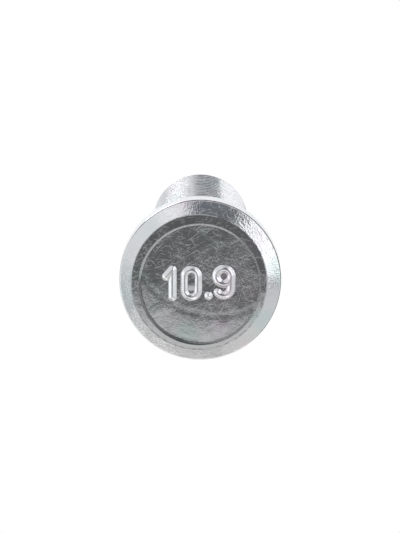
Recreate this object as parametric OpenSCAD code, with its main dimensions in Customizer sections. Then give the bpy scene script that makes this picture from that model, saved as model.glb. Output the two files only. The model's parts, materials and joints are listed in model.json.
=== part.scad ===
// Press-in wheel stud: one forged, rolled and zinc-plated piece that stands on its head.
// The axis is Z. z = 0 is the ring round the head's face, and the threaded end points up.

/* [Head] */
// Diameter over the rim
head_d = 19; // [17.5:0.1:26]
// Height from the face ring to the bearing face
head_h = 4.5; // [3.2:0.1:8]
// Slope of the chamfer round the face, measured from the face
chamfer_angle = 30; // [15:1:45]
// Width of the chamfer, measured along the radius
chamfer_w = 1.55; // [0.8:0.05:2.2]
// Radius of the edge between the chamfer and the rim
rim_edge_r = 0.3; // [0.1:0.05:0.5]
// Radius of the edge between the rim and the bearing face
bearing_edge_r = 0.3; // [0.1:0.05:0.6]

/* [Face ring and recess] */
// Width of the ring between the chamfer and the recess
ring_w = 0.8; // [0.5:0.05:1.2]
// Radius of the ring's outer edge
ring_outer_r = 0.6; // [0.2:0.05:0.8]
// Radius of the ring's inner edge
ring_inner_r = 0.2; // [0.15:0.05:0.25]
// Depth of the recess
recess_depth = 0.4; // [0.4:0.05:0.8]
// Slope of the recess's wall, measured from the face
recess_angle = 75; // [60:1:80]
// Radius at the foot of the recess's wall
recess_foot_r = 0.2; // [0.15:0.05:0.2]

/* [Splined shoulder] */
// Diameter over the splines
spline_d = 12.95; // [12.8:0.05:15]
// Height of a spline above its root
spline_h = 0.35; // [0.2:0.05:0.4]
// Width of a spline's land
spline_land_w = 0.25; // [0.1:0.05:0.35]
// Slope of a spline's flanks, measured from its middle plane
spline_flank_angle = 40; // [30:1:45]
// Number of splines
spline_count = 36; // [18:1:36]
// Length of the shoulder above the bearing face
shoulder_len = 10; // [6:0.5:16]
// Length over which the splines taper towards the thread
lead_in_len = 1.2; // [0.6:0.1:2.5]
// Fillet between the bearing face and the shoulder
seat_fillet_r = 0.5; // [0.2:0.05:0.8]
// Length of the plain band between the fillet and the splines
band_len = 0.4; // [0.2:0.1:2]

/* [Threaded shank] */
// Major diameter of the thread
thread_d = 12; // [8:0.5:12]
// Pitch of the thread
thread_pitch = 1.5; // [1:0.25:2]
// Length of the stud above the bearing face
stud_len = 48; // [34:1:90]
// Length of the plain neck between the shoulder and the thread
neck_len = 2; // [0.5:0.25:6]
// Length of the chamfer at the threaded end
end_chamfer_len = 1.3; // [0.8:0.1:3]

/* [Hidden] */
$fn = 144;
zinc = [0.74, 0.75, 0.74];
// How far the cutting forms of the splines run past the surfaces that they make
overrun = 0.1;

head_r = head_d / 2;
// The chamfer and the face ring meet at this radius, and the ring and the recess's wall at the next
face_corner_r = head_r - chamfer_w;
recess_corner_r = face_corner_r - ring_w;
recess_floor_r = recess_corner_r - recess_depth / tan(recess_angle);
chamfer_h = chamfer_w * tan(chamfer_angle);

spline_r = spline_d / 2;
spline_root_r = spline_r - spline_h;
// Rolling raises the splines as far above the plain band as it presses the roots below it
band_r = spline_r - spline_h / 2;
splines_bottom = head_h + seat_fillet_r + band_len;
shoulder_top = head_h + shoulder_len;

thread_r = thread_d / 2;
// Before rolling, the shank has the thread's pitch diameter, and the neck keeps it
neck_r = (thread_d - 0.65 * thread_pitch) / 2;
// The end chamfer reaches just below the thread's root
end_r = (thread_d - 1.4 * thread_pitch) / 2;
neck_bottom = shoulder_top + thread_r - neck_r;
thread_bottom = neck_bottom + neck_len;
stud_top = head_h + stud_len;

// The web between a sharp corner at p and the arc of radius r that touches both its edges,
// which leave the corner at the angles a and b. It is cut from an outer corner to round it,
// and added to an inner corner to fill it.
module corner_web(p, a, b, r) {
    half = (b - a) / 2;
    reach = r / tan(half);
    centre = p + r / sin(half) * [cos(a + half), sin(a + half)];
    difference() {
        polygon([p, p + reach * [cos(a), sin(a)], centre, p + reach * [cos(b), sin(b)]]);
        translate(centre) circle(r = r);
    }
}

// Half-section of the turned form with sharp corners, radius across and height up
module sharp_section() {
    polygon([
        [0, recess_depth],
        [recess_floor_r, recess_depth],
        [recess_corner_r, 0],
        [face_corner_r, 0],
        [head_r, chamfer_h],
        [head_r, head_h],
        [band_r, head_h],
        [band_r, splines_bottom],
        [neck_r, splines_bottom],
        [neck_r, thread_bottom],
        [thread_r, thread_bottom + thread_r - neck_r],
        [thread_r, stud_top - end_chamfer_len],
        [end_r, stud_top],
        [0, stud_top]
    ]);
}

// The same half-section with the edges and fillets of the forged head
module stud_section() {
    difference() {
        sharp_section();
        corner_web([recess_corner_r, 0], 0, 180 - recess_angle, ring_inner_r);
        corner_web([face_corner_r, 0], chamfer_angle, 180, ring_outer_r);
        corner_web([head_r, chamfer_h], 90, 180 + chamfer_angle, rim_edge_r);
        corner_web([head_r, head_h], 180, 270, bearing_edge_r);
    }
    corner_web([recess_floor_r, recess_depth], 180, 360 - recess_angle, recess_foot_r);
    corner_web([band_r, head_h], 0, 90, seat_fillet_r);
}

// Section across the shoulder: the root circle with a trapezium for each spline, which runs
// past the land so that the shoulder's outer form cuts it to a round one
module spline_section() {
    high = spline_r + overrun;
    low = spline_root_r - overrun;
    high_w = spline_land_w - 2 * overrun * tan(spline_flank_angle);
    low_w = spline_land_w + 2 * (spline_h + overrun) * tan(spline_flank_angle);
    circle(r = spline_root_r);
    for (k = [0 : spline_count - 1])
        rotate(k * 360 / spline_count)
            polygon([[low, -low_w / 2], [high, -high_w / 2], [high, high_w / 2], [low, low_w / 2]]);
}

// Half-section of the shoulder's outer form: the lands, the long lead-in that centres the stud
// in its hole, and the short slope down to the neck
module shoulder_section() {
    inside_r = neck_r - overrun;
    polygon([
        [0, splines_bottom - overrun],
        [spline_r, splines_bottom - overrun],
        [spline_r, shoulder_top - lead_in_len],
        [thread_r, shoulder_top],
        [inside_r, shoulder_top + thread_r - inside_r],
        [0, shoulder_top + thread_r - inside_r]
    ]);
}

module splined_shoulder() {
    intersection() {
        translate([0, 0, head_h]) linear_extrude(height = shoulder_len + thread_r) spline_section();
        rotate_extrude() shoulder_section();
    }
}

module wheel_stud() {
    color(zinc) union() {
        rotate_extrude() stud_section();
        splined_shoulder();
    }
}

wheel_stud();
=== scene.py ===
"""Wheel stud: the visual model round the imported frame, with its rolled thread, splines, raised
number and zinc plating. The stud stands on its head, with its axis on Z. The photograph looks up
at the head's face, with -Y at the top. Lengths are in millimetres until a mesh is made."""

import json

import bpy
import numpy as np
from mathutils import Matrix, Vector


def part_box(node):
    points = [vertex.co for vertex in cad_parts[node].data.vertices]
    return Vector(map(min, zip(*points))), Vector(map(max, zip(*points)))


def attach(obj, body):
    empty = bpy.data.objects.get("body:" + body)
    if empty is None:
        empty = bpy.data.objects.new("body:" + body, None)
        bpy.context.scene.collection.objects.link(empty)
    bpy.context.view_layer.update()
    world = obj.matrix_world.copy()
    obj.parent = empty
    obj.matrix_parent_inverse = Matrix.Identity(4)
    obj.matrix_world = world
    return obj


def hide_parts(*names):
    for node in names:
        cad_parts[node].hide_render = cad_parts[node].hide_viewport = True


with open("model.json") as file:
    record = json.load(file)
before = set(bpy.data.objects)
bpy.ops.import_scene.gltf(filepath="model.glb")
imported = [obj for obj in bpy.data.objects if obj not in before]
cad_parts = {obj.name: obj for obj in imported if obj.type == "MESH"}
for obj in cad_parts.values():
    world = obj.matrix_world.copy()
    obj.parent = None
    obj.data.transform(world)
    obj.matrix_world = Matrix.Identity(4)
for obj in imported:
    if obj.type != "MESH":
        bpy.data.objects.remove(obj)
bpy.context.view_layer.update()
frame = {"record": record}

MM = 0.001

# Sizes that the frame gives
mounts = {mount["name"]: mount for mount in frame["record"]["mounts"]}
cad_low, cad_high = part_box("wheel_stud")
HEAD_R = (cad_high.x - cad_low.x) / 2 / MM
STUD_TOP = cad_high.z / MM
HEAD_H = mounts["bearing_face"]["pos_m"][2] / MM
THREAD_R = mounts["threaded_shank"]["dims"]["r_mm"]
SPLINE_R = mounts["splined_shoulder"]["dims"]["r_mm"]

# Head
CHAMFER_W = 1.55
CHAMFER_SLOPE = np.radians(30)
RING_W = 0.8
RECESS_DEPTH = 0.4
RECESS_SLOPE = np.radians(75)
RIM_EDGE_R = 0.3
BEARING_EDGE_R = 0.3
RING_OUTER_R = 0.35
RING_INNER_R = 0.06
RECESS_FOOT_R = 0.10
# The chamfer's height, and the radii where the chamfer meets the ring, the ring meets the
# recess's wall, and the wall meets the floor
CHAMFER_H = CHAMFER_W * np.tan(CHAMFER_SLOPE)
FACE_CORNER_R = HEAD_R - CHAMFER_W
RECESS_CORNER_R = FACE_CORNER_R - RING_W
RECESS_FLOOR_R = RECESS_CORNER_R - RECESS_DEPTH / np.tan(RECESS_SLOPE)
# The ring falls away outwards by this much
RING_FALL = 0.05
# The face was struck a little off the rim's centre: the recess's floor and edge, and the ring
FLOOR_SHIFT = np.array([-0.03, 0.395])
RECESS_SHIFT = np.array([-0.05, 0.41])
RING_SHIFT = np.array([-0.15, 0.14])
# The floor bulges about a place near the recess's upper edge. At two distances from there it
# starts and ends its fall to the lower edge, and just before that it has a small step.
BULGE_MIDDLE = np.array([1.8, -6.0])
BULGE_FLAT, BULGE_REACH = 10.65, 13.4
FLOOR_FALL = 0.079
STEP_START, STEP_END = 9.5, 10.3
STEP_FALL = 0.010

# Splined shoulder
SPLINE_COUNT = 36
SPLINE_H = 0.35
SPLINE_LAND_W = 0.25
SPLINE_FLANK = np.radians(40)
SHOULDER_LEN = 10.0
SHOULDER_TOP = HEAD_H + SHOULDER_LEN
LEAD_IN_LEN = 1.2
SEAT_FILLET_R = 0.5
BAND_LEN = 0.4
BAND_R = SPLINE_R - SPLINE_H / 2
SPLINES_BOTTOM = HEAD_H + SEAT_FILLET_R + BAND_LEN

# Thread: the neck has its pitch diameter, and the end chamfer reaches below its root
PITCH = 1.5
NECK_R = THREAD_R - 0.325 * PITCH
ROOT_R = THREAD_R - 0.6134 * PITCH
END_R = THREAD_R - 0.7 * PITCH
END_CHAMFER_LEN = 1.3
NECK_LEN = 2.0
NECK_BOTTOM = SHOULDER_TOP + THREAD_R - NECK_R
THREAD_BOTTOM = NECK_BOTTOM + NECK_LEN
RUN_OUT_LEN = 1.6

# Raised number in the recess. u runs right and v up, as the number is read from below.
NUMBER_H = 0.31
RIDGE_W = 0.39
# The ridges' sides are wider towards this direction by this share, and narrower away from it
RIDGE_LEAN = 0.155
LEAN_DIRECTION = np.array([0.70, 0.71])
# The zero's stroke runs round an upright spine: its middle, half-width and the spine's half-length
ZERO_MIDDLE = (-1.08, -0.31)
ZERO_W, ZERO_H = 0.76, 0.83
# The metal inside the zero stands at the first share of the number's height, and falls off
# downwards by the second
ISLAND_H, ISLAND_FALL = 0.36, 0.12

# Where the passivation film is thicker (greener) or thinner (pinker): place, radius and amount
FILM_SPOTS = [
    (-1.9, 6.0, 0.3, 2.4, 0.34),
    (2.4, 5.4, 0.3, 2.8, -0.20),
    (7.2, 5.0, 0.5, 3.4, 0.26),
    (-2.8, -5.3, 44.0, 6.0, -0.22),
    (1.4, -5.8, 44.0, 5.0, 0.24),
    (-8.6, -1.8, 0.5, 5.0, 0.25),
    (-6.8, -5.6, 0.5, 4.0, 0.22),
]

# Families of handling scratches: direction in degrees, length, spacing and place of the pattern
SCRATCHES = [
    (20, 2.5, 0.45, (3, 1, 7)),
    (65, 3.0, 0.40, (11, 5, 2)),
    (110, 2.2, 0.50, (23, 9, 4)),
    (150, 3.4, 0.45, (31, 3, 8)),
    (-10, 1.6, 0.35, (41, 7, 1)),
]

# Mesh: points round the head and the thread, and how near the thread's ends its rows join them
COLUMNS = 360
THREAD_COLUMNS = COLUMNS // 3
JOIN = 0.02

# The photograph's view: its size and the head's place in pixels, and the camera's distance
# from the middle of the chamfer's outer edge, whose height is the last value
IMAGE_W, IMAGE_H = 400, 533
HEAD_PIXEL = (200.25, 280.1)
PIXELS_PER_MM = 8.53
CAMERA_DISTANCE = 600.0
VIEW_TILT = np.radians(8.45)
CHAMFER_EDGE_Z = 0.83


def unit(vector):
    """The vector over its length."""
    return vector / np.linalg.norm(vector)


def smooth_share(value, start, end):
    """Share t of the way from start to end, eased at both ends: t * t * (3 - 2 * t)."""
    t = np.clip((value - start) / (end - start), 0, 1)
    return t * t * (3 - 2 * t)


def rounded_outline(corners, steps=6, support=0.04):
    """Points along a half-section with its sharp corners rounded. Each corner is (r, z, radius).
    With unit directions a and b along a corner's edges and half the angle between them h, the
    arc's centre lies radius / sin h along their bisector, and the arc touches the edges
    radius / tan h from the corner. A supporting point follows each end of an arc."""
    points = np.array([corner[:2] for corner in corners], float)
    outline = [points[0]]
    for before, corner, after, radius in zip(
        points, points[1:], points[2:], [corner[2] for corner in corners[1:]]
    ):
        a, b = unit(before - corner), unit(after - corner)
        half = np.arccos(a @ b) / 2
        centre = corner + unit(a + b) * radius / np.sin(half)
        reach = radius / np.tan(half)
        first, last = corner + a * reach - centre, corner + b * reach - centre
        sweep = np.pi - 2 * half
        s = np.linspace(0, 1, steps + 1)[:, None]
        arc = centre + (np.sin((1 - s) * sweep) * first + np.sin(s * sweep) * last) / np.sin(sweep)
        outline += [corner + a * (reach + support), *arc, corner + b * (reach + support)]
    outline.append(points[-1])
    return np.array(outline)


def to_segment(p, start, end):
    """Nearest point to each p on a straight stroke: the end-to-end share is clipped to 0..1."""
    start, end = np.array(start, float), np.array(end, float)
    along = end - start
    share = np.clip((p - start) @ along / (along @ along), 0, 1)
    return start + share[..., None] * along


def to_arc(p, centre, radius, start, end):
    """Nearest point to each p on an arc that runs counter-clockwise from start to end degrees:
    the angle about the centre is clipped to the arc."""
    offset = p - np.array(centre, float)
    middle = np.radians((start + end) / 2)
    half = np.radians((end - start) / 2)
    turn = np.arctan2(offset[..., 1], offset[..., 0]) - middle
    turn = np.clip((turn + np.pi) % (2 * np.pi) - np.pi, -half, half) + middle
    return np.array(centre) + radius * np.stack([np.cos(turn), np.sin(turn)], axis=-1)


def zero_spine(p):
    """Nearest point to each p on the zero's spine."""
    u, v = ZERO_MIDDLE
    return to_segment(p, (u, v - ZERO_H), (u, v + ZERO_H))


def number_strokes(p):
    """Nearest points to p on each stroke of the number 10.9, in u and v."""
    one_top = (-3.29, 1.31)
    # The zero's stroke lies its half-width off the spine, on the side of p
    off_spine = p - zero_spine(p)
    distance = np.maximum(np.linalg.norm(off_spine, axis=-1, keepdims=True), 1e-6)
    bowl, bowl_r = (2.73, 0.52), 0.88
    tail, tail_r = (2.68, -0.87), 0.86
    return [
        # The one's flag and stem
        to_segment(p, (-4.03, 0.47), one_top),
        to_segment(p, one_top, (-3.29, -1.92)),
        # The zero
        p - off_spine + off_spine * ZERO_W / distance,
        # The point
        to_segment(p, (0.91, -1.78), (0.93, -1.78)),
        # The nine's bowl, its straight side and its tail
        to_arc(p, bowl, bowl_r, -180, 180),
        to_segment(p, (bowl[0] + bowl_r, bowl[1]), (tail[0] + tail_r, tail[1])),
        to_arc(p, tail, tail_r, 218, 360),
    ]


def number_height(x, y):
    """Height of the raised number over the recess's floor. Across each stroke it is a ridge.
    With t the distance from the stroke over the ridge's width on that side, the ridge's share
    of the height is s = 1 + crest - sqrt(t^2 + crest^2), with its foot rounded to
    (s + sqrt(s^2 + foot^2)) / 2 - foot^2 / 4. The width is the base width times 1 + lean times
    the side's direction along the lean. The highest of the strokes and the metal inside the
    zero counts, less the trim and no lower than the floor."""
    crest, foot, trim = 0.22, 0.07, 0.012
    p = np.stack([x, -y], axis=-1)
    heights = []
    for nearest in number_strokes(p):
        offset = p - nearest
        distance = np.linalg.norm(offset, axis=-1)
        lean = offset @ LEAN_DIRECTION / np.maximum(distance, 1e-6)
        width = RIDGE_W * (1 + RIDGE_LEAN * lean)
        s = 1 - np.hypot(distance / width, crest) + crest
        heights.append((s + np.hypot(s, foot)) / 2 - foot**2 / 4)
    below_middle = np.clip((ZERO_MIDDLE[1] - p[..., 1]) / ZERO_H, 0, 1)
    in_zero = np.linalg.norm(p - zero_spine(p), axis=-1) < ZERO_W
    heights.append((ISLAND_H - ISLAND_FALL * below_middle**2) * in_zero)
    return NUMBER_H * np.clip(np.max(heights, axis=0) - trim, 0, None)


def floor_bulge(x, y):
    """How far the recess's floor stands above its lower edge. With t the share of the way from
    where its fall starts to where it ends, it is the fall times 1 - t^1.3, plus the step's fall
    times 1 before the step and 0 past it, eased between."""
    from_middle = np.hypot(x - BULGE_MIDDLE[0], y - BULGE_MIDDLE[1])
    past_flat = np.clip((from_middle - BULGE_FLAT) / (BULGE_REACH - BULGE_FLAT), 0, 1)
    step = 1 - smooth_share(from_middle, STEP_START, STEP_END)
    return FLOOR_FALL * (1 - past_flat**1.3) + STEP_FALL * step


def head_rows():
    """Radius and height of each ring of points on the head, from near the face's middle to the
    band under the splines: rings on the recess's floor, which are closer where the number is,
    and then the rounded half-section."""
    outline = rounded_outline(
        [
            (0, RECESS_DEPTH, 0),
            (RECESS_FLOOR_R, RECESS_DEPTH, RECESS_FOOT_R),
            (RECESS_CORNER_R, 0, RING_INNER_R),
            (FACE_CORNER_R, RING_FALL, RING_OUTER_R),
            (HEAD_R, CHAMFER_H, RIM_EDGE_R),
            (HEAD_R, HEAD_H, BEARING_EDGE_R),
            (BAND_R, HEAD_H, SEAT_FILLET_R),
            (BAND_R, SPLINES_BOTTOM - 0.25, 0),
        ]
    )[1:]
    number_end, close_step, wide_step = 4.85, 0.062, 0.25
    close_rings = np.arange(0.1, number_end, close_step)
    wide_rings = np.arange(number_end + 0.1, outline[0, 0] - 0.1, wide_step)
    radii = np.concatenate([close_rings, wide_rings])
    floor = np.stack([radii, np.full_like(radii, RECESS_DEPTH)], axis=1)
    return np.concatenate([floor, outline])


def head_points():
    """Grid of points on the head, rings by columns. A ring is a circle of its radius, shifted
    by the strike's offset at that radius, which fades out across the chamfer. In the recess
    each height is the half-section's times 1 - bulge / depth, so that the wall meets the
    floor, and on the floor it is less by the number's height."""
    rows = head_rows()
    r, z = rows[:, 0], rows[:, 1]
    turn = np.arange(COLUMNS) * 2 * np.pi / COLUMNS
    past_ring = np.cumsum(r > FACE_CORNER_R) > 0
    fade = np.where(past_ring, np.clip((HEAD_R - r) / CHAMFER_W, 0, 1), 1)
    fade = np.where(z > CHAMFER_H + RIM_EDGE_R, 0, fade)
    corners = [RECESS_FLOOR_R, RECESS_CORNER_R, FACE_CORNER_R]
    shifts = np.stack([FLOOR_SHIFT, RECESS_SHIFT, RING_SHIFT], axis=1)
    shift_x, shift_y = [np.interp(r, corners, shift) * fade for shift in shifts]
    x = r[:, None] * np.cos(turn) + shift_x[:, None]
    y = r[:, None] * np.sin(turn) + shift_y[:, None]
    in_recess = (r < RECESS_CORNER_R) & (z < RECESS_DEPTH + 1e-6)
    on_floor = (r < RECESS_FLOOR_R) & in_recess & (z > RECESS_DEPTH - 1e-6)
    z = z[:, None] * (1 - floor_bulge(x, y) / RECESS_DEPTH * in_recess[:, None])
    z = z - number_height(x, y) * on_floor[:, None]
    return np.stack([x, y, z], axis=-1)


def shoulder_points():
    """Grid of points on the splined shoulder and the neck's lower end. In each ring, the
    radius is the smaller of the outer form's and the spline's: land radius less the arc
    distance past the land's edge over the tangent of the flank, and no lower than the root.
    Columns draw together at the splines' edges and spread out evenly again on the neck."""
    lead_in_bottom = SHOULDER_TOP - LEAD_IN_LEN
    # Height, outer form's radius (0 for the lead-in's), share of the spline's form, and share of
    # the columns' drawing together
    rows = np.array(
        [
            (SPLINES_BOTTOM - 0.20, BAND_R, 0, 0.5),
            (SPLINES_BOTTOM - 0.14, BAND_R, 0, 1),
            (SPLINES_BOTTOM - 0.10, SPLINE_R, 0.2, 1),
            (SPLINES_BOTTOM, SPLINE_R, 0.85, 1),
            (SPLINES_BOTTOM + 0.06, SPLINE_R, 1, 1),
            (SPLINES_BOTTOM + 1.2, SPLINE_R, 1, 1),
            (SPLINES_BOTTOM + 3.6, SPLINE_R, 1, 1),
            (SPLINES_BOTTOM + 6.0, SPLINE_R, 1, 1),
            (lead_in_bottom - 0.05, SPLINE_R, 1, 1),
            (lead_in_bottom + 0.05, 0, 1, 1),
            (lead_in_bottom + 0.25 * LEAD_IN_LEN, 0, 1, 1),
            (lead_in_bottom + 0.50 * LEAD_IN_LEN, 0, 1, 1),
            (lead_in_bottom + 0.74 * LEAD_IN_LEN, 0, 1, 1),
            (SHOULDER_TOP - 0.05, 0, 1, 1),
            (SHOULDER_TOP + 0.05, THREAD_R - 0.05, 1, 1),
            (NECK_BOTTOM - 0.10, NECK_R + 0.10, 1, 0.8),
            (NECK_BOTTOM, NECK_R + 0.03, 1, 0.6),
            (NECK_BOTTOM + 0.10, NECK_R, 1, 0.4),
            (NECK_BOTTOM + 0.30, NECK_R, 1, 0),
        ]
    )
    z, form, share, draw = rows.T[:, :, None]
    lead_in = SPLINE_R - (z - lead_in_bottom) * (SPLINE_R - THREAD_R) / LEAD_IN_LEN
    form = np.where(form == 0, lead_in, form)
    spline = 2 * np.pi / SPLINE_COUNT
    even = np.arange(COLUMNS) * 2 * np.pi / COLUMNS
    # Columns of one spline in degrees from its middle: land's edges, flanks and root's edges
    drawn = np.radians([0.75, 1.45, 2.6, 3.6, 4.3, 5.7, 6.4, 7.4, 8.55, 9.25])
    drawn = (np.arange(SPLINE_COUNT)[:, None] * spline + drawn).ravel()
    turn = even + (drawn - even) * draw
    past_land = np.abs((turn + spline / 2) % spline - spline / 2) * SPLINE_R - SPLINE_LAND_W / 2
    toothed = SPLINE_R - np.clip(np.clip(past_land, 0, None) / np.tan(SPLINE_FLANK), 0, SPLINE_H)
    radius = np.minimum(form, BAND_R + (toothed - BAND_R) * share)
    return np.stack([radius * np.cos(turn), radius * np.sin(turn), z + 0 * turn], axis=-1)


def thread_radius(turn, z):
    """Radius of the rolled thread. With d the distance along the axis from the nearest crest,
    which climbs one pitch a turn to the right, the radius is the major one less
    (d - pitch / 16) * tan 60, and no lower than the root. It grows out of the neck over the
    run-out, and the end chamfer's cone cuts it."""
    phase = (z / PITCH - turn / (2 * np.pi)) % 1
    from_crest = np.minimum(phase, 1 - phase) * PITCH
    radius = THREAD_R - np.clip(from_crest - PITCH / 16, 0, None) * np.tan(np.radians(60))
    radius = np.maximum(radius, ROOT_R)
    grown = smooth_share(z, THREAD_BOTTOM, THREAD_BOTTOM + RUN_OUT_LEN)
    radius = NECK_R + (radius - NECK_R) * grown
    cone_bottom = STUD_TOP - END_CHAMFER_LEN
    cone = THREAD_R - (z - cone_bottom) * (THREAD_R - END_R) / END_CHAMFER_LEN
    return np.minimum(radius, cone)


def thread_points(low, high):
    """Points of the thread between two heights, and the grid of their numbers. Rows follow the
    helix, so that each keeps its place on the thread's form: the row at phase f of turn n lies
    at pitch * (n + f + j / columns) in column j. Rows beyond either height are held to it, where
    they share one ring of points. The low and the high ring come first in the points. The grid
    has one column more, which joins each row to the row one turn higher."""
    # Phases from the crest's middle: one on the crest and two on the flank at the crest's edge,
    # two on the flank and one on the root at the root's edge, and the same up the other flank
    falling = np.array([0.057, 0.067, 0.078, 0.400, 0.415, 0.433])
    phases = np.concatenate([falling, 1 - falling[::-1]])
    turns = np.arange(np.floor(low / PITCH) - 2, np.ceil(high / PITCH) + 2)
    row_z = PITCH * (turns[:, None] + phases).ravel()
    turn = np.arange(THREAD_COLUMNS) * 2 * np.pi / THREAD_COLUMNS
    z = row_z[:, None] + PITCH * turn / (2 * np.pi)
    inside = (z > low + JOIN) & (z < high - JOIN)
    column = np.broadcast_to(np.arange(THREAD_COLUMNS), z.shape)
    numbers = np.where(z < high - JOIN, column, THREAD_COLUMNS + column)
    numbers[inside] = 2 * THREAD_COLUMNS + np.arange(inside.sum())
    rings_z = np.repeat([low, high], THREAD_COLUMNS)
    all_z = np.concatenate([rings_z, z[inside]])
    all_turn = np.concatenate([turn, turn, turn[column[inside]]])
    radius = thread_radius(all_turn, all_z)
    points = np.stack([radius * np.cos(all_turn), radius * np.sin(all_turn), all_z], axis=-1)
    joined = np.full((len(numbers), 1), THREAD_COLUMNS)
    joined[: -len(phases), 0] = numbers[len(phases) :, 0]
    return points, np.concatenate([numbers, joined], axis=1)


def end_points():
    """Grid of points on the stud's flat end, rings by columns, with a small broken edge."""
    turn = np.arange(THREAD_COLUMNS) * 2 * np.pi / THREAD_COLUMNS
    r = np.array([END_R - 0.02, END_R - 0.08, END_R - 0.2, END_R * 0.5])[:, None]
    z = np.array([STUD_TOP - 0.015, STUD_TOP, STUD_TOP, STUD_TOP])[:, None]
    return np.stack([r * np.cos(turn), r * np.sin(turn), z + 0 * turn], axis=-1)


def closed_grid(numbers):
    """The grid with its first column once more at its end."""
    return np.concatenate([numbers, numbers[:, :1]], axis=1)


def grid_triangles(numbers):
    """Two triangles for each cell of a grid of point numbers, with rows upwards along the
    stud and columns counter-clockwise seen from its top, facing outwards."""
    a, b = numbers[:-1, :-1].ravel(), numbers[:-1, 1:].ravel()
    c, d = numbers[1:, 1:].ravel(), numbers[1:, :-1].ravel()
    return np.concatenate([np.stack([a, b, c], axis=1), np.stack([a, c, d], axis=1)])


def fan_triangles(centre, ring, upwards):
    """Triangles between a point and a closed ring round it, facing up or down."""
    after = np.roll(ring, -1)
    sides = (ring, after) if upwards else (after, ring)
    return np.stack([np.full_like(ring, centre), *sides], axis=1)


def thinned_triangles(fine, coarse):
    """Triangles between a ring and one above it with a third as many points, where each
    coarse point stands over every third fine one."""
    first, second, third, fourth = fine[0::3], fine[1::3], fine[2::3], np.roll(fine[0::3], -1)
    after = np.roll(coarse, -1)
    return np.concatenate(
        [
            np.stack([coarse, first, second], axis=1),
            np.stack([coarse, second, after], axis=1),
            np.stack([after, second, third], axis=1),
            np.stack([after, third, fourth], axis=1),
        ]
    )


def make_mesh(name, points, triangles):
    """A smooth mesh from points in millimetres, without the triangles that have no area."""
    a, b, c = triangles.T
    triangles = triangles[(a != b) & (b != c) & (c != a)]
    mesh = bpy.data.meshes.new(name)
    mesh.vertices.add(len(points))
    mesh.vertices.foreach_set("co", (points * MM).ravel())
    mesh.loops.add(triangles.size)
    mesh.loops.foreach_set("vertex_index", triangles.ravel())
    mesh.polygons.add(len(triangles))
    mesh.polygons.foreach_set("loop_start", np.arange(0, triangles.size, 3))
    mesh.update(calc_edges=True)
    mesh.validate()
    mesh.shade_smooth()
    piece = bpy.data.objects.new(name, mesh)
    bpy.context.scene.collection.objects.link(piece)
    return piece


def stud_body():
    """The whole stud as one closed mesh: face, head and splined shoulder in fine columns, and
    the thread and end in a third as many."""
    lower = np.concatenate([head_points(), shoulder_points()])
    lower_numbers = np.arange(len(lower) * COLUMNS).reshape(-1, COLUMNS)
    points = [lower.reshape(-1, 3)]
    triangles = [grid_triangles(closed_grid(lower_numbers))]
    count = lower_numbers.size

    points.append(lower[0].mean(axis=0)[None])
    triangles.append(fan_triangles(count, lower_numbers[0], upwards=False))
    count += 1

    # The thread's grid starts on the plain neck and ends at the broken edge of the stud's end
    thread_low, thread_high = THREAD_BOTTOM - 1.4, STUD_TOP - 0.06
    thread, thread_numbers = thread_points(thread_low, thread_high)
    points.append(thread)
    triangles.append(grid_triangles(count + thread_numbers))
    low_ring = count + np.arange(THREAD_COLUMNS)
    high_ring = low_ring + THREAD_COLUMNS
    triangles.append(thinned_triangles(lower_numbers[-1], low_ring))
    count += len(thread)

    end = end_points()
    end_numbers = count + np.arange(len(end) * THREAD_COLUMNS).reshape(-1, THREAD_COLUMNS)
    points.append(end.reshape(-1, 3))
    triangles.append(grid_triangles(closed_grid(np.concatenate([high_ring[None], end_numbers]))))
    count += end_numbers.size

    points.append(np.array([[0, 0, STUD_TOP]]))
    triangles.append(fan_triangles(count, end_numbers[-1], upwards=True))
    return make_mesh("stud_body", np.concatenate(points), np.concatenate(triangles))


class Field:
    """One number of a shader: arithmetic on fields adds Math nodes."""

    def __init__(self, graph, socket):
        self.graph, self.socket = graph, socket

    def join(self, operation, *values):
        return self.graph.number("ShaderNodeMath", {"operation": operation}, *values)

    def __add__(self, other):
        return self.join("ADD", self, other)

    def __radd__(self, other):
        return self.join("ADD", other, self)

    def __sub__(self, other):
        return self.join("SUBTRACT", self, other)

    def __rsub__(self, other):
        return self.join("SUBTRACT", other, self)

    def __neg__(self):
        return self.join("SUBTRACT", 0, self)

    def __mul__(self, other):
        return self.join("MULTIPLY", self, other)

    def __rmul__(self, other):
        return self.join("MULTIPLY", other, self)

    def __truediv__(self, other):
        return self.join("DIVIDE", self, other)

    def __pow__(self, other):
        return self.join("POWER", self, other)

    def __abs__(self):
        return self.join("ABSOLUTE", self)

    def most(self, other):
        return self.join("MAXIMUM", self, other)

    def rise(self, low, high):
        """0 below low, 1 above high and a smooth step between; high may be the lower one."""
        settings = {"interpolation_type": "SMOOTHSTEP"}
        if high < low:
            return self.graph.number("ShaderNodeMapRange", settings, self, high, low, 1.0, 0.0)
        return self.graph.number("ShaderNodeMapRange", settings, self, low, high, 0.0, 1.0)


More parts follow.
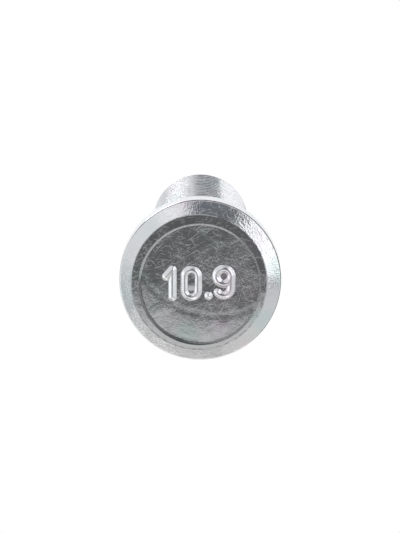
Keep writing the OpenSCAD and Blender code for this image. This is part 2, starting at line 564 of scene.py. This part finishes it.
class Graph:
    """A node tree that is filled by expressions."""

    def __init__(self, tree):
        self.tree = tree
        tree.nodes.clear()

    def feed(self, socket, value):
        """Links a field or an output to an input, or sets the input's own value. A colour may
        leave out its alpha."""
        if isinstance(value, Field):
            value = value.socket
        if isinstance(value, bpy.types.NodeSocket):
            self.tree.links.new(value, socket)
        elif socket.type == "RGBA" and len(value) == 3:
            socket.default_value = (*value, 1)
        else:
            socket.default_value = value

    def node(self, kind, settings, *values, **named):
        """Adds a node, makes its settings, and then feeds its inputs: values in their order,
        and named ones with a space for each underscore."""
        node = self.tree.nodes.new(kind)
        for name, value in settings.items():
            if name == "stops":
                while len(node.color_ramp.elements) < len(value):
                    node.color_ramp.elements.new(1)
                for stop, (place, colour) in zip(node.color_ramp.elements, value):
                    stop.position, stop.color = place, (*colour, 1)
            else:
                setattr(node, name, value)
        for socket, value in zip(node.inputs, values):
            self.feed(socket, value)
        for name, value in named.items():
            self.feed(node.inputs[name.replace("_", " ")], value)
        return node

    def number(self, kind, settings, *values, **named):
        """The first output of a new node, as a field."""
        return Field(self, self.node(kind, settings, *values, **named).outputs[0])

    def blend(self, share, first, second):
        """Colour that goes from the first to the second as share goes from 0 to 1."""
        mix = self.node("ShaderNodeMix", {"data_type": "RGBA"}, share)
        # The node has inputs for each type of data, and its two colours are the seventh and eighth
        self.feed(mix.inputs[6], first)
        self.feed(mix.inputs[7], second)
        return mix.outputs[2]

    def noise(self, place, scale, detail=2.0, roughness=0.5, distortion=0.0):
        """Noise from 0 to 1 about 0.5. scale is in features a millimetre."""
        return self.number(
            "ShaderNodeTexNoise",
            {},
            Vector=place,
            Scale=scale,
            Detail=detail,
            Roughness=roughness,
            Distortion=distortion,
        )

    def parts(self, vector):
        """The three numbers of a vector, as fields."""
        node = self.node("ShaderNodeSeparateXYZ", {}, vector)
        return [Field(self, output) for output in node.outputs]


def zinc_plating():
    """Bright zinc with a thin passivation film: a metal whose colour drifts between pale pink
    and mint, with small handling scratches, dents, pits, duller patches, a worn edge, painted
    shade in the recess's corner and round the rim's edge, and a darker line along the ring's edge."""
    material = bpy.data.materials.new("zinc_plating")
    material.use_nodes = True
    graph = Graph(material.node_tree)
    coordinates = graph.node("ShaderNodeTexCoord", {})
    place = graph.node(
        "ShaderNodeMapping", {}, Vector=coordinates.outputs["Object"], Scale=(1 / MM,) * 3
    ).outputs[0]
    x, y, z = graph.parts(place)

    def from_circle(shift, radius):
        """Distance outwards from a circle about the shifted axis."""
        return ((x - float(shift[0])) ** 2 + (y - float(shift[1])) ** 2) ** 0.5 - radius

    def scratches(turned, length, spacing, seed):
        """Long thin lines along one direction of the face, a few millimetres long: where a
        stretched noise passes its middle value, broken up by a mask."""
        stretched = graph.node(
            "ShaderNodeMapping",
            {"vector_type": "TEXTURE"},
            Vector=place,
            Location=seed,
            Rotation=(0, 0, float(np.radians(turned))),
            Scale=(length, spacing, 1),
        ).outputs[0]
        line = abs(graph.noise(stretched, 1.0, 0.0) - 0.5).rise(0.030, 0.0)
        return line * graph.noise(stretched, 1.9, 0.0).rise(0.56, 0.66)

    # Film: a slow drift, with the spots on it
    film = graph.noise(place, 0.16, 1.5, 0.5, 0.6)
    for spot_x, spot_y, spot_z, radius, amount in FILM_SPOTS:
        distance = ((x - spot_x) ** 2 + (y - spot_y) ** 2 + (z - spot_z) ** 2) ** 0.5
        film = film + amount * distance.rise(radius, 0.0)
    stops = [
        (0.30, (0.84, 0.77, 0.83)),
        (0.42, (0.82, 0.81, 0.825)),
        (0.58, (0.81, 0.82, 0.82)),
        (0.74, (0.74, 0.81, 0.80)),
    ]
    tint = graph.node("ShaderNodeValToRGB", {"stops": stops}, film).outputs[0]

    # Surface: fine grain, which is stronger on the chamfer, dents, swells, worn patches, which
    # are duller and rougher, and scratches
    on_face = z.rise(1.0, 0.9)
    ring_edge = from_circle(RING_SHIFT, FACE_CORNER_R)
    chamfer = ring_edge.rise(0.0, 0.1) * on_face
    grain = graph.noise(place, 5.0, 1.0, 0.6)
    mottle = graph.noise(place, 1.3, 2.0, 0.55, 0.4)
    swell = graph.noise(place, 0.45, 1.0)
    worn = graph.noise(place, 0.28, 2.0).rise(0.42, 0.60)
    scratch = scratches(*SCRATCHES[0])
    for family in SCRATCHES[1:]:
        scratch = scratch.most(scratches(*family))
    # The ring's outer edge is rubbed dull at the top
    worn_edge = abs(ring_edge - 0.04).rise(0.08, 0.02) * on_face * (-y).rise(0.0, 3.0)
    roughness = 0.12 + 0.04 * worn + 0.14 * scratch + 0.35 * worn_edge * mottle.rise(0.35, 0.55)
    height = (
        grain * (0.08 + 0.20 * worn + 0.7 * chamfer)
        + mottle * (0.4 + 0.3 * worn)
        + swell
        - scratch * 0.12
    )
    bump = graph.node("ShaderNodeBump", {}, Strength=1.0, Distance=0.02 * MM, Height=height)

    # Painted shade in the recess's corner, which is thinner at the upper left and heaviest at the
    # lower left
    wall = from_circle(RECESS_SHIFT, RECESS_CORNER_R)
    painted_corner_shade = wall.rise(-0.20, -0.10) * wall.rise(0.08, 0.0) * on_face
    painted_corner_shade = painted_corner_shade * (0.75 - 0.4 * (-y - 0.6 * x).rise(1.0, 4.0))
    # Heavier painted shade in the corner at the lower left
    painted_lower_left_shade = wall.rise(-0.34, -0.26) * wall.rise(0.06, 0.0) * on_face
    painted_lower_left_shade = painted_lower_left_shade * (0.60 * y - 0.80 * x).rise(4.8, 6.0)
    # Painted shade: a dark line round the head where the chamfer ends, which fades out towards the
    # bottom
    painted_rim_shade = from_circle((0, 0), HEAD_R).rise(-0.17, -0.06) * z.rise(1.12, 1.02)
    painted_rim_shade = painted_rim_shade * (-y).rise(-3.0, 3.0)
    # A darker line along the ring's outer edge, broken into dots, on the lower half of the face
    lower = y.rise(0.0, 3.0)
    dents = abs(ring_edge).rise(0.14, 0.03) * on_face * lower * (0.35 + mottle.rise(0.46, 0.56))
    # Small dirty pits. A cell has one if its random colour, taken as a grey, is light enough.
    cells = graph.node("ShaderNodeTexVoronoi", {}, Vector=place, Scale=1.8)
    pits = Field(graph, cells.outputs["Distance"]).rise(0.10, 0.04)
    pits = pits * Field(graph, cells.outputs["Color"]).rise(0.45, 0.50)
    # The dirty pits, the ring's darker line, and the painted shade in the recess's corner and
    # round the rim, all darkened towards one near-black colour
    dirt_and_painted_shade = painted_corner_shade.most(0.75 * painted_lower_left_shade).most(0.5 * pits).most(0.35 * dents).most(0.4 * painted_rim_shade)
    tint = graph.blend(dirt_and_painted_shade, tint, (0.18, 0.18, 0.17))

    surface = graph.node(
        "ShaderNodeBsdfPrincipled",
        {},
        Base_Color=tint,
        Metallic=1.0,
        Roughness=roughness,
        Normal=bump.outputs[0],
    )
    graph.node("ShaderNodeOutputMaterial", {}, surface.outputs[0])
    return material


def studio_world():
    """The studio that the metal mirrors, which only glossy rays see. All other rays see plain
    white. Its map is flat: a direction at an angle a from straight down lies tan(a / 2) from
    the middle, with q_x to the right and q_up to the top as in the photograph. Its lights and
    darks are soft ellipses, soft rings and soft steps."""
    world = bpy.data.worlds.new("studio")
    bpy.context.scene.world = world
    world.use_nodes = True
    graph = Graph(world.node_tree)
    coordinates = graph.node("ShaderNodeTexCoord", {})
    x, y, z = graph.parts(coordinates.outputs["Generated"])
    # Straight up lies endlessly far out on the map, so the divisor is held above 0
    divisor = (1 - z).most(0.001)
    q_x = x / divisor
    q_up = -y / divisor
    # Faces of one slope mirror a circle of the map about this place
    slope_ring = (q_x * q_x + (q_up + 0.1) ** 2) ** 0.5

    def lobe(at_x, at_up, half_long, half_wide, lean, edge):
        """1 inside a soft-edged ellipse whose long axis leans right of up by so many degrees."""
        cosine, sine = float(np.cos(np.radians(lean))), float(np.sin(np.radians(lean)))
        along = (q_x - at_x) * sine + (q_up - at_up) * cosine
        across = (q_x - at_x) * cosine - (q_up - at_up) * sine
        distance = ((along / half_long) ** 2 + (across / half_wide) ** 2) ** 0.5
        return distance.rise(1 + edge, 1 - edge)

    # What the chamfer mirrors: grey, lighter at the upper left and the lower right, with a dark
    # spot at the right, a large light over it and a small one at the top
    upper_left = q_up.rise(-0.15, 0.10) * (-q_x).rise(0.1, 0.3)
    lower_right = (-q_up).rise(0.05, 0.25) * q_x.rise(0.1, 0.3)
    lower_left = (-q_x - q_up).rise(0.1, 0.6)
    level = 0.57 + 0.23 * upper_left + 0.09 * lower_right - 0.06 * lower_left
    level = level - 0.28 * lobe(0.56, -0.08, 0.05, 0.10, 0, 0.5)
    level = level + 0.80 * lobe(0.50, 0.23, 0.38, 0.17, -24, 0.08)
    level = level + 0.32 * lobe(-0.18, 0.47, 0.14, 0.12, -65, 0.3)
    # What steeper small faces mirror, such as the number's flanks: bright, then dark, and above
    # the stud bright again
    steep = (slope_ring - 0.05 * lower_left).rise(0.62, 0.68)
    level = level * (1 - steep) + steep * (0.76 + 0.50 * lower_left)
    level = level * (1 - 0.84 * slope_ring.rise(0.90, 1.00) * (1 - 0.6 * lower_left))
    above = slope_ring.rise(2.2, 2.8)
    level = level * (1 - above) + 0.95 * above
    # What the flat face mirrors: a dark shape with a straight lower edge
    dark = lobe(0.07, 0.16, 0.40, 0.22, 11, 0.08).most(lobe(0.22, 0.12, 0.15, 0.15, 0, 0.2))
    over_edge = (-q_up).rise(0.107, 0.090) * slope_ring.rise(0.66, 0.60)
    dark = dark * over_edge
    level = level * (1 - dark) + (0.10 + 0.13 * q_up) * dark
    cool = (q_up + 0.6 * abs(q_x)).rise(-0.35, 0.05)
    colour = graph.blend(cool, (1.0, 1.0, 0.99), (0.98, 1.0, 1.025))
    colour = graph.blend(dark * q_up.rise(0.22, 0.42), colour, (0.88, 1.0, 1.14))

    rays = graph.node("ShaderNodeLightPath", {}).outputs
    light = graph.node("ShaderNodeBackground", {}, colour, level)
    backdrop = graph.node("ShaderNodeBackground", {}, (1, 1, 1), 1.0)
    mixed = graph.node(
        "ShaderNodeMixShader", {}, rays["Is Glossy Ray"], backdrop.outputs[0], light.outputs[0]
    )
    graph.node("ShaderNodeOutputWorld", {}, mixed.outputs[0])


def pale_floor():
    """The floor under the stud. It shows to a camera above it, with the stud's shadow, and
    is clear from below and to reflections, so that the head's face is lit."""
    half = 2000 * MM
    mesh = bpy.data.meshes.new("floor")
    corners = [(-half, -half, 0), (half, -half, 0), (half, half, 0), (-half, half, 0)]
    mesh.from_pydata(corners, [], [(0, 1, 2, 3)])
    floor = bpy.data.objects.new("floor", mesh)
    bpy.context.scene.collection.objects.link(floor)
    material = bpy.data.materials.new("pale_floor")
    material.use_nodes = True
    graph = Graph(material.node_tree)
    rays = graph.node("ShaderNodeLightPath", {}).outputs
    sides = graph.node("ShaderNodeNewGeometry", {}).outputs
    shown = Field(graph, rays["Is Camera Ray"]) * (1 - Field(graph, sides["Backfacing"]))
    clear = graph.node("ShaderNodeBsdfTransparent", {})
    paint = graph.node("ShaderNodeBsdfDiffuse", {}, (0.86, 0.86, 0.86))
    mixed = graph.node("ShaderNodeMixShader", {}, shown, clear.outputs[0], paint.outputs[0])
    graph.node("ShaderNodeOutputMaterial", {}, mixed.outputs[0])
    mesh.materials.append(material)


def soft_lamp(name, place, size, power):
    """A square area lamp that faces the stud's middle. Place and size are in metres, and the
    power is in watts."""
    data = bpy.data.lights.new(name, "AREA")
    data.size, data.energy = size, power
    lamp = bpy.data.objects.new(name, data)
    lamp.location = place
    middle = Vector((0, 0, STUD_TOP * MM / 2))
    lamp.rotation_mode = "QUATERNION"
    lamp.rotation_quaternion = (middle - lamp.location).to_track_quat("-Z", "Y")
    bpy.context.scene.collection.objects.link(lamp)


def photo_camera():
    """Looks at the head's face from below, tilted from the stud's axis towards -Y. The
    middle of the chamfer's outer edge falls on the head's pixel."""
    data = bpy.data.cameras.new("photo_camera")
    # Blender fits the sensor's width to the longer side of the image
    data.sensor_width = 36.0
    data.lens = PIXELS_PER_MM * CAMERA_DISTANCE / IMAGE_H * data.sensor_width
    data.clip_start, data.clip_end = 0.01, 20
    camera = bpy.data.objects.new("photo_camera", data)
    back = Vector((0, -np.sin(VIEW_TILT), -np.cos(VIEW_TILT)))
    turn = (-back).to_track_quat("-Z", "Y")
    right, up = turn @ Vector((1, 0, 0)), turn @ Vector((0, 1, 0))
    head = Vector((0, 0, CHAMFER_EDGE_Z * MM))
    aside = (IMAGE_W / 2 - HEAD_PIXEL[0]) * right + (HEAD_PIXEL[1] - IMAGE_H / 2) * up
    camera.location = head + back * CAMERA_DISTANCE * MM + aside * MM / PIXELS_PER_MM
    camera.rotation_mode = "QUATERNION"
    camera.rotation_quaternion = turn
    bpy.context.scene.collection.objects.link(camera)
    bpy.context.scene.camera = camera


stud = stud_body()
stud.data.materials.append(zinc_plating())
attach(stud, "root")
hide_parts("wheel_stud")

studio_world()
pale_floor()
soft_lamp("key_lamp", (-0.25, -0.35, 0.55), 0.25, 1.2)
photo_camera()
bpy.context.scene.view_settings.view_transform = "Standard"
